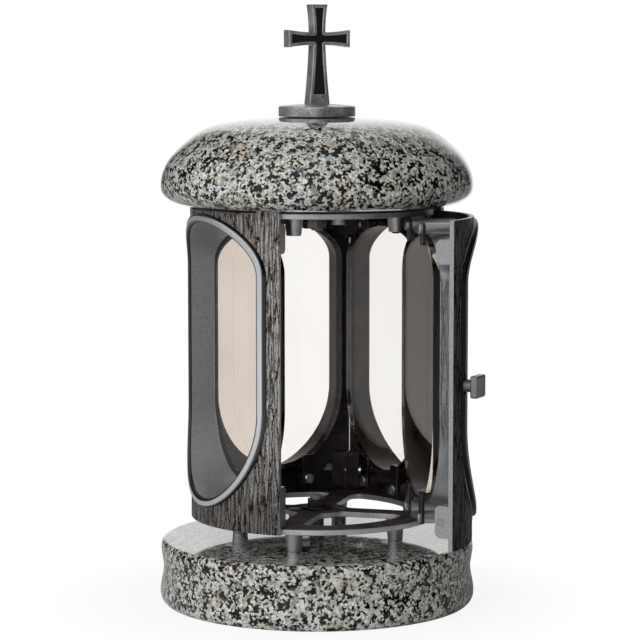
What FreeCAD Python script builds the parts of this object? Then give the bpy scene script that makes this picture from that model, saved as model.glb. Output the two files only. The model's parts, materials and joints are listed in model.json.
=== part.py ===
"""Grave lantern: a round granite foot and lid, a cage of four curved cast panels with smoked
flat panes, one panel hung as a door, two spoked plates and a cross on top.

Frame: millimetres, +Z up, z = 0 under the granite foot, Z axis through the middle of the body.
An azimuth is an angle in degrees from -Y, the front, toward +X, the right.
"""
import FreeCAD, Part
import math
import os
from FreeCAD import Vector

os.makedirs("parts", exist_ok=True)

# Granite foot
FOOT_RADIUS = 68.2
FOOT_HEIGHT = 27.5
FOOT_WAIST_DEPTH = 0.9
FOOT_TOP_ROUND = 2.6
FOOT_BOTTOM_INSET = 1.6
FOOT_BULGE_HEIGHT = 6.4

# Granite lid
LID_RADIUS = 67.8
LID_HEIGHT = 37.8
LID_SEAT_RADIUS = 57.5
LID_EDGE_HEIGHT = 9.0
LID_GAP = 1.2

# Cage of panels
WALL_RADIUS = 55.0
WALL_THICKNESS = 2.0
WALL_HEIGHT = 134.5
CAGE_LIFT = 10.2
OPEN_JOINT_AZIMUTH = -16.0
JOINT_STEP = 90.0
JOINT_GAP = 0.7
EAR_WIDTH = 10.5

# Window tunnel and its rim bead
BEAD_STAND = 1.8
BEAD_WIDTH = 3.2
BEAD_ROUND = 1.1
BEAD_SINK = 1.0
WINDOW_HALF_WIDTH = 33.4
WINDOW_SILL = 10.9
WINDOW_HEAD = 4.2
WINDOW_LOW_SPRING = 50.9
WINDOW_SPRING_DROP = 26.0
TUNNEL_PLANE = 35.5
TUNNEL_REACH = 58.0
TUNNEL_WALL = 2.2
TUNNEL_SIDE_DRAFT = 4.4
TUNNEL_SILL_DRAFT = 5.9
TUNNEL_HEAD_DRAFT = 5.3

# Smoked pane and its clips
PANE_THICKNESS = 3.0
PANE_OVERLAP = 1.9
CLIP_SPREAD = 13.0
CLIP_WIDTH = 6.0
CLIP_THICKNESS = 1.2
CLIP_GRIP = 2.4
CLIP_EDGE = 2.6
CLIP_SCREW_RADIUS = 1.25
CLIP_HEAD_RADIUS = 2.4
CLIP_HEAD_HEIGHT = 1.5
CLIP_SCREW_LENGTH = 9.0
CLIP_BOSS_RADIUS = 2.5
CLIP_LOW_INSET = 9.8
CLIP_HIGH_INSET = 5.0

# Lugs that join one panel to the next
LUG_DEPTH = 6.5
LUG_WIDTH = 6.0
LUG_CHAMFER = 1.6
LOW_LUG_START = 2.9
LOW_LUG_HEIGHT = 17.0
HIGH_LUG_DROP = 16.5
HIGH_LUG_HEIGHT = 12.5
JOINT_SCREW_RADIUS = 1.8
JOINT_SCREW_INSET = 4.1
JOINT_HEAD_RADIUS = 3.1
JOINT_HEAD_HEIGHT = 2.2
JOINT_NUT_RADIUS = 3.1
JOINT_NUT_HEIGHT = 3.0
JOINT_SCREW_OVERRUN = 1.0

# Spoked plates
PLATE_THICKNESS = 2.2
PLATE_CLEARANCE = 0.5
HUB_RADIUS = 13.0
OPENING_RADIUS = 41.0
SPOKE_WIDTH = 10.0
PLATE_BOSS_CIRCLE = 35.4
PLATE_BOSS_RADIUS = 4.0
PLATE_BOSS_TIP_RADIUS = 3.2
TOP_BOSS_HEIGHT = 8.0
PLATE_CORNER_ROUND = 4.0
PLATE_SCREW_RADIUS = 1.5
PLATE_SCREW_HEAD_RADIUS = 2.8
PLATE_SCREW_HEAD_HEIGHT = 1.3
PLATE_SCREW_LENGTH = 8.5
PLATE_SCREW_ARC = 21.0
PANEL_BOSS_RADIUS = 3.2
PANEL_BOSS_HEIGHT = 8.0
PANEL_BOSS_INSET = 4.6

# Door and its hinge
DOOR_OPEN_ANGLE = 71.0
HINGE_ARC = 9.4
HINGE_INSET = 5.8
HINGE_DOOR_GAP = 1.75
HINGE_FRAME_GAP = 1.35
HINGE_LUG_HALF_WIDTH = 3.0
HINGE_LUG_HEIGHT = 6.4
HINGE_PIN_RADIUS = 1.5
HINGE_RUNNING_FIT = 0.06
HINGE_NOTCH_WIDTH = 13.2
LOW_BUSH_HEIGHT = 9.0
HIGH_BUSH_HEIGHT = 9.0
BUSH_WIDE_RADIUS = 4.4
BUSH_NARROW_RADIUS = 2.5
MOVING_CLEARANCE = 0.3
DOOR_LOW_LUG_START = 5.0
DOOR_LOW_LUG_HEIGHT = 13.3
DOOR_HIGH_LUG_DROP = 17.8
DOOR_HIGH_LUG_HEIGHT = 9.8
MAGNET_RADIUS = 2.0
MAGNET_LENGTH = 3.5
MAGNET_RECESS = 0.15
KNOB_RISE = 67.2
KNOB_SIZE = 9.2
KNOB_HEAD = 3.4
KNOB_STEM_RADIUS = 2.6
KNOB_STAND = 3.2
KNOB_ROUND = 0.9
KNOB_SCREW_RADIUS = 0.9
KNOB_SCREW_DEPTH = 2.4
KNOB_BEAD_SHARE = 0.7

# Disc, cross, tie rod
DISC_RADIUS = 16.6
DISC_SIDE = 3.9
DISC_CROWN = 1.5
DISC_BEVEL = 0.5
CROSS_HEIGHT = 44.0
CROSS_SPAN = 28.8
CROSS_DEPTH = 5.6
CROSS_TURN = 25.0
CROSS_CENTRE_DROP = 14.6
ARM_END_WIDTH = 7.4
ARM_NECK_WIDTH = 5.4
STEM_FOOT_WIDTH = 9.8
CROSS_RIM = 1.4
CROSS_PLAIN_FOOT = 5.6
CROSS_RECESS = 0.8
INLAY_DROP = 0.35
ROD_RADIUS = 2.5
ROD_TAIL = 1.1
ROD_GRIP = 2.2
LID_WASHER_RADIUS = 7.8
LID_WASHER_TOP = 0.8
LID_WASHER_HEIGHT = 3.0
LID_NUT_RADIUS = 4.6
LID_NUT_HEIGHT = 4.0
GASKET_WIDTH = 6.0

# Anchor of the bottom plate
ANCHOR_RADIUS = 3.0
ANCHOR_DEPTH = 12.0
ANCHOR_TAIL = 1.4
ANCHOR_WASHER_RADIUS = 6.6
ANCHOR_WASHER_HEIGHT = 1.0
ANCHOR_NUT_RADIUS = 4.7
ANCHOR_NUT_HEIGHT = 3.2
SIDE_STUD_RADIUS = 2.4
SIDE_STUD_CIRCLE = 10.0

OVERRUN = 5.0

# Heights and radii that follow from the sizes above
FOOT_TOP = FOOT_HEIGHT
PLATE_BASE = FOOT_TOP + CAGE_LIFT
PLATE_TOP = PLATE_BASE + PLATE_THICKNESS
WALL_BASE = PLATE_BASE
WALL_TOP = WALL_BASE + WALL_HEIGHT
HIGH_PLATE_TOP = WALL_TOP + MOVING_CLEARANCE
HIGH_PLATE_BASE = HIGH_PLATE_TOP - PLATE_THICKNESS
LID_BASE = HIGH_PLATE_TOP + LID_GAP
LID_TOP = LID_BASE + LID_HEIGHT
DISC_TOP = LID_TOP + DISC_SIDE + DISC_CROWN
INNER_RADIUS = WALL_RADIUS - WALL_THICKNESS
BEAD_RADIUS = WALL_RADIUS + BEAD_STAND
PLATE_RADIUS = INNER_RADIUS - PLATE_CLEARANCE
PANE_PLANE = TUNNEL_PLANE - PANE_THICKNESS
HINGE_AZIMUTH = OPEN_JOINT_AZIMUTH + JOINT_STEP - math.degrees(HINGE_ARC / WALL_RADIUS)
HINGE_CIRCLE = WALL_RADIUS - HINGE_INSET
EAR_OVERLAP = WALL_THICKNESS
HALF_GAP_ANGLE = math.degrees(JOINT_GAP / 2 / WALL_RADIUS)
EAR_ANGLE = math.degrees(EAR_WIDTH / WALL_RADIUS)
PLATE_SCREW_ANGLE = math.degrees(PLATE_SCREW_ARC / WALL_RADIUS)
PANEL_CENTRES = {
    "door": OPEN_JOINT_AZIMUTH + JOINT_STEP / 2,
    "back_right": OPEN_JOINT_AZIMUTH + JOINT_STEP * 1.5,
    "back_left": OPEN_JOINT_AZIMUTH + JOINT_STEP * 2.5,
    "left": OPEN_JOINT_AZIMUTH + JOINT_STEP * 3.5,
}
FIXED = ("left", "back_left", "back_right")

# Shares of the lid's reach and rise along its dome, and of the disc's crown.
DOME_REACH_SHARES = (0.27, 0.46, 0.59, 0.72, 0.847, 0.91, 0.975)
DOME_RISE_SHARES = (0.983, 0.952, 0.908, 0.815, 0.61, 0.47, 0.24)
CORNER_REACH_SHARES = (0.93, 0.62)
CORNER_RISE_SHARES = (0.55, 0.2)
DOME_MID_SHARE = 0.75
UP = Vector(0, 0, 1)


def spot(radius, azimuth, z=0):
    """The point at a radius, an azimuth and a height."""
    angle = math.radians(azimuth)
    return Vector(radius * math.sin(angle), -radius * math.cos(angle), z)


def turned(shape, degrees, centre=Vector(0, 0, 0)):
    """A copy of the shape turned about the vertical through a centre."""
    copy = shape.copy()
    copy.rotate(centre, UP, degrees)
    return copy


def moved(shape, offset):
    copy = shape.copy()
    copy.translate(offset)
    return copy


def cylinder(radius, low, high, centre=Vector(0, 0, 0)):
    """An upright cylinder between two heights."""
    return Part.makeCylinder(radius, high - low, Vector(centre.x, centre.y, low))


def cone(low_radius, high_radius, low, high, centre=Vector(0, 0, 0)):
    return Part.makeCone(low_radius, high_radius, high - low, Vector(centre.x, centre.y, low))


def ring(inner, outer, low, high):
    return cylinder(outer, low, high).cut(cylinder(inner, low - OVERRUN, high + OVERRUN))


def wedge(radius, start, end, low, high):
    """A slice of a cylinder between two azimuths."""
    slice_ = Part.makeCylinder(radius, high - low, Vector(0, 0, low), UP, end - start)
    return turned(slice_, start - 90)


def ring_slice(inner, outer, start, end, low, high):
    return ring(inner, outer, low, high).common(wedge(outer + OVERRUN, start, end, low, high))


def block(x_low, x_high, y_low, y_high, z_low, z_high):
    corner = Vector(x_low, y_low, z_low)
    return Part.makeBox(x_high - x_low, y_high - y_low, z_high - z_low, corner)


def hexagon(radius, height, base, direction):
    """A hexagonal nut body: radius over its corners."""
    points = []
    for side in range(7):
        angle = math.radians(60 * side + 30)
        points.append(Vector(radius * math.cos(angle), radius * math.sin(angle), 0))
    body = Part.Face(Part.makePolygon(points)).extrude(Vector(0, 0, height))
    body.Placement = FreeCAD.Placement(base, FreeCAD.Rotation(UP, direction))
    return body


def revolve(edges):
    """A solid of revolution from profile edges in the XZ half plane."""
    wire = Part.Wire(edges)
    return Part.Face(wire).revolve(Vector(0, 0, 0), UP, 360)


def line(start, end):
    return Part.makeLine(start, end)


def arc(start, middle, end):
    return Part.Arc(start, middle, end).toShape()


def half_ellipse(plane, spring, half, rise):
    """Half an ellipse in the plane y = -plane, from +half to -half through spring + rise."""
    centre = Vector(0, -plane, spring)
    crown = Vector(0, -plane, spring + rise)
    if half >= abs(rise):
        curve = Part.Ellipse(Vector(half, -plane, spring), crown, centre)
        return curve.toShape(0, math.pi)
    curve = Part.Ellipse(crown, Vector(-half, -plane, spring), centre)
    return curve.toShape(-math.pi / 2, math.pi / 2)


def window_wire(plane, half, sill, head):
    """The window's outline in one plane: straight sides, a half ellipse at each end."""
    low = WALL_BASE + WINDOW_LOW_SPRING
    high = WALL_TOP - WINDOW_SPRING_DROP
    right = line(Vector(half, -plane, low), Vector(half, -plane, high))
    top = half_ellipse(plane, high, half, head - high)
    left = line(Vector(-half, -plane, high), Vector(-half, -plane, low))
    bottom = half_ellipse(plane, low, half, sill - low)
    return Part.Wire([right, top, left, bottom])


def tunnel(grow):
    """The window's tunnel from its flat inner end out past the wall, drafted like a casting."""
    sill = WALL_BASE + WINDOW_SILL
    head = WALL_TOP - WINDOW_HEAD
    outer = window_wire(TUNNEL_REACH, WINDOW_HALF_WIDTH + grow, sill - grow, head + grow)
    inner_half = WINDOW_HALF_WIDTH - TUNNEL_SIDE_DRAFT + grow
    inner_sill = sill + TUNNEL_SILL_DRAFT - grow
    inner_head = head - TUNNEL_HEAD_DRAFT + grow
    inner = window_wire(TUNNEL_PLANE, inner_half, inner_sill, inner_head)
    return Part.makeLoft([inner, outer], True, True)


def window_slab(near, far, grow):
    """A flat slab with the tunnel's inner outline, between two planes."""
    half = WINDOW_HALF_WIDTH - TUNNEL_SIDE_DRAFT + grow
    sill = WALL_BASE + WINDOW_SILL + TUNNEL_SILL_DRAFT - grow
    head = WALL_TOP - WINDOW_HEAD - TUNNEL_HEAD_DRAFT + grow
    face = Part.Face(window_wire(near, half, sill, head))
    return face.extrude(Vector(0, near - far, 0))


def bead():
    """The smooth rim round the window, proud of the wall, with its two outer edges rounded."""
    half = WINDOW_HALF_WIDTH - TUNNEL_SIDE_DRAFT / 2 + BEAD_WIDTH
    sill = WALL_BASE + WINDOW_SILL - BEAD_WIDTH
    head = WALL_TOP - WINDOW_HEAD + BEAD_WIDTH
    face = Part.Face(window_wire(TUNNEL_PLANE, half, sill, head))
    prism = face.extrude(Vector(0, TUNNEL_PLANE - TUNNEL_REACH, 0))
    band = prism.common(ring(WALL_RADIUS - BEAD_SINK, BEAD_RADIUS, WALL_BASE, WALL_TOP))
    band = band.cut(tunnel(0))
    rims = []
    for edge in band.Edges:
        samples = [edge.valueAt(edge.FirstParameter), edge.valueAt(edge.LastParameter)]
        samples.append(edge.valueAt((edge.FirstParameter + edge.LastParameter) / 2))
        distances = [math.hypot(point.x, point.y) for point in samples]
        if max(abs(distance - BEAD_RADIUS) for distance in distances) < BEAD_ROUND / 100:
            rims.append(edge)
    return band.makeFillet(BEAD_ROUND, rims)


def lug(side, start, height):
    """A joining lug inside one edge of a panel; side is 1 for +X, -1 for -X, at the joint."""
    low = WALL_BASE + start
    near = JOINT_GAP / 2
    body = block(near, near + LUG_WIDTH, -WALL_RADIUS + WALL_THICKNESS / 2,
                 -INNER_RADIUS + LUG_DEPTH, low, low + height)
    edges = []
    for edge in body.Edges:
        centre = edge.BoundBox.Center
        inner = abs(centre.y + INNER_RADIUS - LUG_DEPTH) < LUG_CHAMFER / 10
        end = abs(abs(centre.z - low - height / 2) - height / 2) < LUG_CHAMFER / 10
        if inner and end:
            edges.append(edge)
    body = body.makeChamfer(LUG_CHAMFER, edges)
    if side > 0:
        body = body.mirror(Vector(0, 0, 0), Vector(1, 0, 0))
    return turned(body, side * JOINT_STEP / 2)


def clip_heights():
    """Heights of the clip screws, below and above the pane."""
    low = WALL_BASE + CLIP_LOW_INSET
    high = WALL_TOP - CLIP_HIGH_INSET
    return low, high


def clip_places():
    places = []
    for x in (-CLIP_SPREAD, CLIP_SPREAD):
        for z in clip_heights():
            places.append((x, z))
    return places


def clip_boss(x, z):
    """A post from the wall in to the pane's inner face."""
    reach = WALL_RADIUS - WALL_THICKNESS - PANE_PLANE
    post = Part.makeCylinder(CLIP_BOSS_RADIUS, reach, Vector(x, -PANE_PLANE, z), Vector(0, -1, 0))
    return post


def clip_screw(x, z):
    seat = Vector(x, -PANE_PLANE + CLIP_THICKNESS, z)
    inward = Vector(0, 1, 0)
    shank = Part.makeCylinder(CLIP_SCREW_RADIUS, CLIP_SCREW_LENGTH, seat, -inward)
    head = Part.makeCylinder(CLIP_HEAD_RADIUS, CLIP_HEAD_HEIGHT, seat, inward)
    crown = [edge for edge in head.Edges if edge.BoundBox.Center.y > seat.y + CLIP_HEAD_HEIGHT / 2
             and edge.Curve.TypeId == "Part::GeomCircle"]
    head = head.makeFillet(CLIP_HEAD_HEIGHT / 2, crown)
    return head.fuse(shank).removeSplitter()


def pane_edge_height(x, upward):
    """Height of the pane's outline at a sideways place, on its upper or lower side."""
    half = WINDOW_HALF_WIDTH - TUNNEL_SIDE_DRAFT + PANE_OVERLAP
    share = math.sqrt(1 - (x / half) ** 2)
    if upward:
        spring = WALL_TOP - WINDOW_SPRING_DROP
        crown = WALL_TOP - WINDOW_HEAD - TUNNEL_HEAD_DRAFT + PANE_OVERLAP
    else:
        spring = WALL_BASE + WINDOW_LOW_SPRING
        crown = WALL_BASE + WINDOW_SILL + TUNNEL_SILL_DRAFT - PANE_OVERLAP
    return spring + (crown - spring) * share


def clip(x, z):
    """A flat spring tab: one end under its screw, the other on the edge of the pane."""
    upward = z > (WALL_BASE + WALL_TOP) / 2
    edge = pane_edge_height(x, upward)
    if upward:
        low, high = edge - CLIP_GRIP, z + CLIP_EDGE
    else:
        low, high = z - CLIP_EDGE, edge + CLIP_GRIP
    tab = block(x - CLIP_WIDTH / 2, x + CLIP_WIDTH / 2, -PANE_PLANE, -PANE_PLANE + CLIP_THICKNESS,
                low, high)
    corners = [edge for edge in tab.Edges if edge.BoundBox.YLength > CLIP_THICKNESS / 2]
    tab = tab.makeFillet(CLIP_WIDTH / 4, corners)
    return tab.cut(clip_screw(x, z))


def pane():
    return window_slab(TUNNEL_PLANE, PANE_PLANE, PANE_OVERLAP)


def plate_screw(x_azimuth, upper):
    """A countersunk screw through a plate into a panel's boss."""
    centre = spot(WALL_RADIUS - PANEL_BOSS_INSET, x_azimuth)
    if upper:
        face = HIGH_PLATE_TOP
        shank = cylinder(PLATE_SCREW_RADIUS, face - PLATE_SCREW_LENGTH, face, centre)
        head = cone(PLATE_SCREW_RADIUS, PLATE_SCREW_HEAD_RADIUS,
                    face - PLATE_SCREW_HEAD_HEIGHT, face, centre)
    else:
        face = PLATE_BASE
        shank = cylinder(PLATE_SCREW_RADIUS, face, face + PLATE_SCREW_LENGTH, centre)
        head = cone(PLATE_SCREW_HEAD_RADIUS, PLATE_SCREW_RADIUS,
                    face, face + PLATE_SCREW_HEAD_HEIGHT, centre)
    return head.fuse(shank).removeSplitter()


def panel_shell(start, end):
    """Wall, tunnel and bead of one panel, centred on the front, between two edge angles."""
    wall = ring_slice(INNER_RADIUS, WALL_RADIUS, start, end, WALL_BASE, WALL_TOP)
    sleeve = tunnel(TUNNEL_WALL).common(cylinder(WALL_RADIUS, WALL_BASE, WALL_TOP))
    body = wall.fuse(sleeve)
    for x, z in clip_places():
        body = body.fuse(clip_boss(x, z))
    body = body.cut(tunnel(0))
    body = body.fuse(bead())
    for x, z in clip_places():
        body = body.cut(clip_screw(x, z))
    return body


def ear(start, end):
    """A raised corner that carries the lid."""
    return ring_slice(INNER_RADIUS, WALL_RADIUS, start, end, WALL_TOP - EAR_OVERLAP, LID_BASE)


def fixed_panel(start_gap, end_gap, start_lugs, end_lugs):
    """A fixed panel centred on the front: start is its edge toward -X, end toward +X."""
    start = -JOINT_STEP / 2 + start_gap
    end = JOINT_STEP / 2 - end_gap
    body = panel_shell(start, end)
    body = body.fuse(ear(start, start + EAR_ANGLE))
    body = body.fuse(ear(end - EAR_ANGLE, end))
    for azimuth in (-PLATE_SCREW_ANGLE, PLATE_SCREW_ANGLE):
        centre = spot(WALL_RADIUS - PANEL_BOSS_INSET, azimuth)
        low = cylinder(PANEL_BOSS_RADIUS, PLATE_TOP, PLATE_TOP + PANEL_BOSS_HEIGHT, centre)
        high_base = HIGH_PLATE_BASE - PANEL_BOSS_HEIGHT
        high = cylinder(PANEL_BOSS_RADIUS, high_base, HIGH_PLATE_BASE, centre)
        body = body.fuse(low.fuse(high).cut(tunnel(0)))
        body = body.cut(plate_screw(azimuth, False)).cut(plate_screw(azimuth, True))
    for side, wanted in ((-1, start_lugs), (1, end_lugs)):
        if wanted:
            body = body.fuse(lug(side, LOW_LUG_START, LOW_LUG_HEIGHT))
            body = body.fuse(lug(side, WALL_HEIGHT - HIGH_LUG_DROP, HIGH_LUG_HEIGHT))
    return body.removeSplitter()


def joint_screw_heights():
    low = WALL_BASE + LOW_LUG_START + LOW_LUG_HEIGHT / 2
    high = WALL_TOP - HIGH_LUG_DROP + HIGH_LUG_HEIGHT / 2
    return low, high


def joint_screw(z):
    """A screw across a joint on the front line, with its nut; returned apart."""
    y = -INNER_RADIUS + JOINT_SCREW_INSET
    face = JOINT_GAP / 2 + LUG_WIDTH
    along = Vector(1, 0, 0)
    length = 2 * face + JOINT_NUT_HEIGHT + JOINT_SCREW_OVERRUN
    shank = Part.makeCylinder(JOINT_SCREW_RADIUS, length, Vector(-face, y, z), along)
    head = Part.makeCylinder(JOINT_HEAD_RADIUS, JOINT_HEAD_HEIGHT, Vector(-face, y, z), -along)
    screw = head.fuse(shank).removeSplitter()
    nut = hexagon(JOINT_NUT_RADIUS, JOINT_NUT_HEIGHT, Vector(face, y, z), along)
    return screw, nut.cut(shank)


def magnet(side, z):
    """A magnet let into the joint face of a lug on the front line."""
    y = -INNER_RADIUS + LUG_DEPTH / 2
    near = (JOINT_GAP / 2 + MAGNET_RECESS) * side
    return Part.makeCylinder(MAGNET_RADIUS, MAGNET_LENGTH, Vector(near, y, z), Vector(side, 0, 0))


def magnet_bore(side, z):
    y = -INNER_RADIUS + LUG_DEPTH / 2
    return Part.makeCylinder(MAGNET_RADIUS, MAGNET_LENGTH + MAGNET_RECESS + JOINT_GAP / 2,
                             Vector(0, y, z), Vector(side, 0, 0))


def plate(low, boss_height):
    """A spoked plate: four rounded sector openings, and a tapered boss under each spoke."""
    high = low + PLATE_THICKNESS
    body = cylinder(PLATE_RADIUS, low, high)
    for quarter in range(4):
        centre = OPEN_JOINT_AZIMUTH + JOINT_STEP * (quarter + 0.5)
        cut = cylinder(OPENING_RADIUS, low - OVERRUN, high + OVERRUN)
        cut = cut.cut(cylinder(HUB_RADIUS, low - OVERRUN - OVERRUN, high + OVERRUN + OVERRUN))
        apex = SPOKE_WIDTH / 2
        quadrant = block(apex, PLATE_RADIUS, apex, PLATE_RADIUS, low - OVERRUN, high + OVERRUN)
        cut = cut.common(turned(quadrant, centre - 135))
        upright = [edge for edge in cut.Edges if edge.BoundBox.ZLength > PLATE_THICKNESS]
        body = body.cut(cut.makeFillet(PLATE_CORNER_ROUND, upright))
        spoke = spot(PLATE_BOSS_CIRCLE, OPEN_JOINT_AZIMUTH + JOINT_STEP * quarter)
        post = cone(PLATE_BOSS_TIP_RADIUS, PLATE_BOSS_RADIUS, low - boss_height, low, spoke)
        body = body.fuse(post)
    return body.removeSplitter()


def hinge_point():
    return spot(HINGE_CIRCLE, HINGE_AZIMUTH)


def hinge_levels():
    """Heights of the two door lugs on the hinge pins: (low, high) pairs."""
    lower = PLATE_TOP + MOVING_CLEARANCE + LOW_BUSH_HEIGHT
    upper = HIGH_PLATE_BASE - MOVING_CLEARANCE - HIGH_BUSH_HEIGHT
    return (lower, lower + HINGE_LUG_HEIGHT), (upper - HINGE_LUG_HEIGHT, upper)


def hinge_bore(radius):
    return cylinder(radius, WALL_BASE - OVERRUN, WALL_TOP + OVERRUN, hinge_point())


def build_granite_foot():
    """Foot profile: flat polished top, rounded arris, a shallow waist and a bulge below."""
    top = FOOT_HEIGHT
    arris = FOOT_TOP_ROUND
    waist = Vector(FOOT_RADIUS - FOOT_WAIST_DEPTH, 0, (top + FOOT_BULGE_HEIGHT) / 2)
    shoulder = Vector(FOOT_RADIUS, 0, top - arris)
    slope = math.sqrt(0.5)
    turn = Vector(FOOT_RADIUS - arris + arris * slope, 0, top - arris + arris * slope)
    bulge = Vector(FOOT_RADIUS + FOOT_WAIST_DEPTH / 2, 0, FOOT_BULGE_HEIGHT)
    toe = Vector(FOOT_RADIUS - FOOT_BOTTOM_INSET, 0, 0)
    side = Part.BSplineCurve()
    low_shoulder = Vector(FOOT_RADIUS, 0, top - arris * 2)
    low_waist = Vector(waist.x, 0, waist.z - arris)
    knee = Vector((bulge.x + toe.x) / 2 + FOOT_WAIST_DEPTH / 2, 0, FOOT_BULGE_HEIGHT / 4)
    side.interpolate([shoulder, low_shoulder, waist, low_waist, bulge, knee, toe])
    edges = [line(Vector(0, 0, 0), Vector(0, 0, top)),
             line(Vector(0, 0, top), Vector(FOOT_RADIUS - arris, 0, top)),
             arc(Vector(FOOT_RADIUS - arris, 0, top), turn, shoulder),
             side.toShape(),
             line(toe, Vector(0, 0, 0))]
    body = revolve(edges)
    body = body.cut(cylinder(ANCHOR_RADIUS, top - ANCHOR_DEPTH, top + OVERRUN))
    for stud in side_stud_places():
        body = body.cut(cylinder(SIDE_STUD_RADIUS, top - ANCHOR_DEPTH, top + OVERRUN, stud))
    return body


def build_granite_lid():
    """Lid profile: flat underside, rounded lower edge and a bun-shaped dome."""
    widest = Vector(LID_RADIUS, 0, LID_BASE + LID_EDGE_HEIGHT)
    rise = LID_TOP - widest.z
    crown = Vector(0, 0, LID_TOP)
    points = [crown]
    for reach, height in zip(DOME_REACH_SHARES, DOME_RISE_SHARES):
        points.append(Vector(LID_RADIUS * reach, 0, widest.z + rise * height))
    points.append(widest)
    overhang = LID_RADIUS - LID_SEAT_RADIUS
    for reach, height in zip(CORNER_REACH_SHARES, CORNER_RISE_SHARES):
        points.append(Vector(LID_SEAT_RADIUS + overhang * reach, 0,
                             LID_BASE + LID_EDGE_HEIGHT * height))
    points.append(Vector(LID_SEAT_RADIUS, 0, LID_BASE))
    curve = Part.BSplineCurve()
    tangents = [Vector(1, 0, 0), Vector(-1, 0, 0)]
    curve.interpolate(Points=points, InitialTangent=tangents[0], FinalTangent=tangents[1])
    edges = [curve.toShape(),
             line(Vector(LID_SEAT_RADIUS, 0, LID_BASE), Vector(0, 0, LID_BASE)),
             line(Vector(0, 0, LID_BASE), crown)]
    body = revolve(edges)
    return body.cut(cylinder(ROD_RADIUS, LID_BASE - OVERRUN, LID_TOP + OVERRUN))


def side_stud_places():
    return [spot(SIDE_STUD_CIRCLE, 90), spot(SIDE_STUD_CIRCLE, -90)]


def build_plates():
    """Both plates, with the bores for studs, rod, hinge pins and screws."""
    bottom = plate(PLATE_BASE, CAGE_LIFT)
    top = plate(HIGH_PLATE_BASE, TOP_BOSS_HEIGHT)
    bottom = bottom.cut(cylinder(ANCHOR_RADIUS, PLATE_BASE - OVERRUN, PLATE_TOP + OVERRUN))
    for stud in side_stud_places():
        bottom = bottom.cut(cylinder(SIDE_STUD_RADIUS, PLATE_BASE - OVERRUN,
                                     PLATE_TOP + OVERRUN, stud))
    top = top.cut(cylinder(ROD_RADIUS, HIGH_PLATE_BASE - OVERRUN, HIGH_PLATE_TOP + OVERRUN))
    running = hinge_bore(HINGE_PIN_RADIUS + HINGE_RUNNING_FIT)
    for azimuth in plate_screw_azimuths():
        bottom = bottom.cut(plate_screw(azimuth, False))
        top = top.cut(plate_screw(azimuth, True))
    return bottom.cut(running), top.cut(running)


def plate_screw_azimuths():
    azimuths = []
    for name in FIXED:
        for side in (-1, 1):
            azimuths.append(PANEL_CENTRES[name] + side * PLATE_SCREW_ANGLE)
    return azimuths


def build_fixed_panels():
    hinge_gap = math.degrees(HINGE_FRAME_GAP / WALL_RADIUS)
    shapes = {
        "left": fixed_panel(HALF_GAP_ANGLE, HALF_GAP_ANGLE, True, True),
        "back_left": fixed_panel(HALF_GAP_ANGLE, HALF_GAP_ANGLE, True, True),
        "back_right": fixed_panel(hinge_gap, HALF_GAP_ANGLE, False, True),
    }
    placed = {}
    for name, shape in shapes.items():
        body = turned(shape, PANEL_CENTRES[name])
        for azimuth in joint_azimuths():
            for z in joint_screw_heights():
                body = body.cut(turned(joint_screw(z)[0], azimuth))
        placed[name] = body
    striker = turned(magnet_bore(-1, magnet_height()), OPEN_JOINT_AZIMUTH)
    placed["left"] = placed["left"].cut(striker)
    return placed


def joint_azimuths():
    """The two joints that screws hold shut."""
    return [OPEN_JOINT_AZIMUTH + JOINT_STEP * 2, OPEN_JOINT_AZIMUTH + JOINT_STEP * 3]


def magnet_height():
    return WALL_BASE + DOOR_LOW_LUG_START + DOOR_LOW_LUG_HEIGHT / 2


def knob_azimuth():
    """The knob sits on the free side of the door's bead, a share of the bead's width out."""
    reach = WINDOW_HALF_WIDTH - TUNNEL_SIDE_DRAFT / 2 + BEAD_WIDTH * KNOB_BEAD_SHARE
    return PANEL_CENTRES["door"] - math.degrees(math.asin(reach / BEAD_RADIUS))


def knob_bore(extra):
    """The knob's screw: blind in the bead, short of the tunnel's drafted side."""
    base = spot(BEAD_RADIUS - KNOB_SCREW_DEPTH, knob_azimuth(), WALL_BASE + KNOB_RISE)
    outward = spot(1, knob_azimuth())
    return Part.makeCylinder(KNOB_SCREW_RADIUS, KNOB_SCREW_DEPTH + extra, base, outward)


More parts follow.
